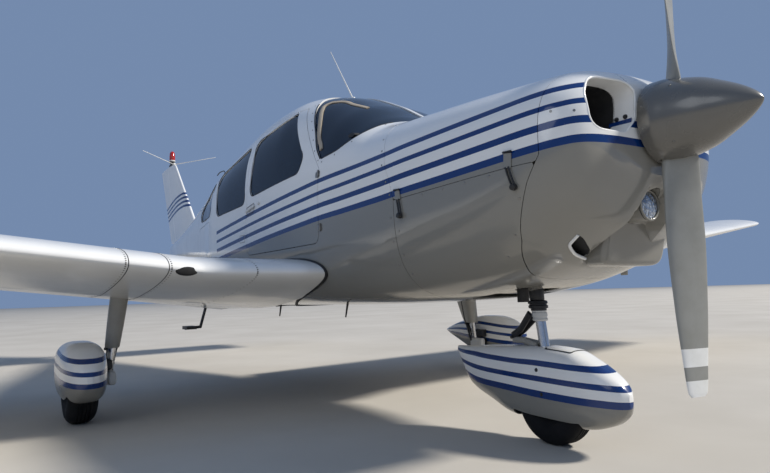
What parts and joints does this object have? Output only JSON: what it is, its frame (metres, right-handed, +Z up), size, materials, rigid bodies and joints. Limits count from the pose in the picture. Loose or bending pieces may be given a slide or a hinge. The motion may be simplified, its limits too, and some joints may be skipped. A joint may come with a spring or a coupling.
{
  "type": "light aircraft",
  "caption": "Four-seat low-wing light aircraft with a nose propeller, fixed nosewheel gear with wheel fairings, opening doors and moving control surfaces.",
  "frame": {"origin": "on the ground, under the middle of the aircraft's length, on its centre plane", "axes": "+X forward to the spinner, +Y to the left wing tip, +Z up; the aircraft stands on its three wheels"},
  "size_m": [7.16, 10.67, 2.428],
  "materials": {
    "white_paint": "gloss",
    "lower_paint": "gloss",
    "wing_paint": "gloss",
    "engine_metal": "satin",
    "lamp_lens": "clear",
    "window": "clear",
    "gear_metal": "satin",
    "rim_paint": "satin",
    "tyre_rubber": "matt",
    "blade_paint": "satin",
    "spinner_paint": "gloss",
    "carpet": "matt",
    "seat_cloth": "matt",
    "panel_plastic": "matt",
    "red_lens": "clear",
    "aerial_plastic": "gloss",
    "black_plastic": "matt"
  },
  "bodies": {
    "airframe": {"nose_bowl": "lower_paint", "cowl_upper": "white_paint", "cowl_lower": "lower_paint", "engine": "engine_metal", "landing_light": "lamp_lens", "cabin_shell": "white_paint", "window_right_rear": "window", "window_right_aft": "window", "window_left_front": "window", "window_left_rear": "window", "window_left_aft": "window", "windscreen_left": "window", "windscreen_right": "window", "wing_left": "wing_paint", "wing_right": "wing_paint", "wing_tip_left": "wing_paint", "wing_tip_right": "wing_paint", "main_strut_left": "gear_metal", "main_strut_right": "gear_metal", "wheel_fairing_left": "lower_paint", "wheel_fairing_right": "lower_paint", "fin": "white_paint", "tail_cone": "white_paint", "cabin_floor": "carpet", "seat_front_left": "seat_cloth", "seat_front_right": "seat_cloth", "seat_rear": "seat_cloth", "instrument_panel": "panel_plastic", "beacon": "red_lens", "com_antenna": "aerial_plastic", "nav_antenna": "black_plastic", "boarding_step": "black_plastic", "air_box": "lower_paint", "exhaust_pipe": "engine_metal", "pitot_mast": "gear_metal"},
    "propeller": {"propeller": "blade_paint", "spinner": "spinner_paint"},
    "nose_steer": {"nose_strut": "gear_metal", "nose_fork": "gear_metal", "nose_fairing": "lower_paint"},
    "nose_wheel": {"nose_wheel": "rim_paint", "nose_tyre": "tyre_rubber"},
    "wheel_right": {"wheel_right": "rim_paint", "tyre_right": "tyre_rubber"},
    "wheel_left": {"wheel_left": "rim_paint", "tyre_left": "tyre_rubber"},
    "flap_right": {"flap_right": "wing_paint"},
    "flap_left": {"flap_left": "wing_paint"},
    "aileron_right": {"aileron_right": "wing_paint"},
    "aileron_left": {"aileron_left": "wing_paint"},
    "rudder": {"rudder": "white_paint"},
    "stabilator": {"stabilator": "white_paint"},
    "stabilator_tab": {"stabilator_tab": "white_paint"},
    "cabin_door": {"cabin_door": "white_paint", "door_window": "window"},
    "baggage_door": {"baggage_door": "white_paint"}
  },
  "joints": [
    {"name": "propeller_spin", "type": "hinge", "parent": "airframe", "child": "propeller", "pos_m": [3.291, 0, 1.212], "axis": [1, 0, 0], "continuous": true},
    {"name": "nose_steer", "type": "hinge", "parent": "airframe", "child": "nose_steer", "pos_m": [2.628, 0, 0.407], "axis": [-0.1408, 0, 0.99], "range_deg": [-30, 30]},
    {"name": "nose_wheel_spin", "type": "hinge", "parent": "nose_steer", "child": "nose_wheel", "pos_m": [2.672, 0, 0.174], "axis": [0, 1, 0], "continuous": true},
    {"name": "wheel_right_spin", "type": "hinge", "parent": "airframe", "child": "wheel_right", "pos_m": [0.71, -1.524, 0.203], "axis": [0, 1, 0], "continuous": true},
    {"name": "wheel_left_spin", "type": "hinge", "parent": "airframe", "child": "wheel_left", "pos_m": [0.71, 1.524, 0.203], "axis": [0, 1, 0], "continuous": true},
    {"name": "flap_right_hinge", "type": "hinge", "parent": "airframe", "child": "flap_right", "pos_m": [0.15, -0.625, 0.62916], "axis": [0, -0.9929, 0.1191], "range_deg": [0, 40]},
    {"name": "flap_left_hinge", "type": "hinge", "parent": "airframe", "child": "flap_left", "pos_m": [0.15, 0.625, 0.62916], "axis": [0, -0.9929, -0.1191], "range_deg": [0, 40]},
    {"name": "aileron_right_hinge", "type": "hinge", "parent": "airframe", "child": "aileron_right", "pos_m": [0.15, -2.7, 0.87802], "axis": [0.0368, -0.9856, 0.165], "range_deg": [-25, 12.5]},
    {"name": "aileron_left_hinge", "type": "hinge", "parent": "airframe", "child": "aileron_left", "pos_m": [0.15, 2.7, 0.87802], "axis": [-0.0368, -0.9856, -0.165], "range_deg": [-25, 12.5]},
    {"name": "rudder_hinge", "type": "hinge", "parent": "airframe", "child": "rudder", "pos_m": [-2.90801, 0, 1.306], "axis": [-0.318, 0, 0.9481], "range_deg": [-27, 27]},
    {"name": "stabilator_pivot", "type": "hinge", "parent": "airframe", "child": "stabilator", "pos_m": [-2.75, 0, 1.095], "axis": [0, -1, 0], "range_deg": [-14, 2]},
    {"name": "stabilator_tab_hinge", "type": "hinge", "parent": "stabilator", "child": "stabilator_tab", "pos_m": [-3.192, 0, 1.095], "axis": [0, -1, 0], "range_deg": [-8.5, 1.5]},
    {"name": "cabin_door_hinge", "type": "hinge", "parent": "airframe", "child": "cabin_door", "pos_m": [1.687, -0.57716, 0.985], "axis": [0, 0.0361, 0.9993], "range_deg": [0, 75]},
    {"name": "baggage_door_hinge", "type": "hinge", "parent": "airframe", "child": "baggage_door", "pos_m": [-0.066, -0.55857, 0.925], "axis": [0, 0, 1], "range_deg": [0, 85]}
  ],
  "couplings": [
    {"joint": "rudder_hinge", "follows": "nose_steer", "ratio": -0.9},
    {"joint": "flap_left_hinge", "follows": "flap_right_hinge", "ratio": 1},
    {"joint": "stabilator_tab_hinge", "follows": "stabilator_pivot", "ratio": 0.6}
  ]
}
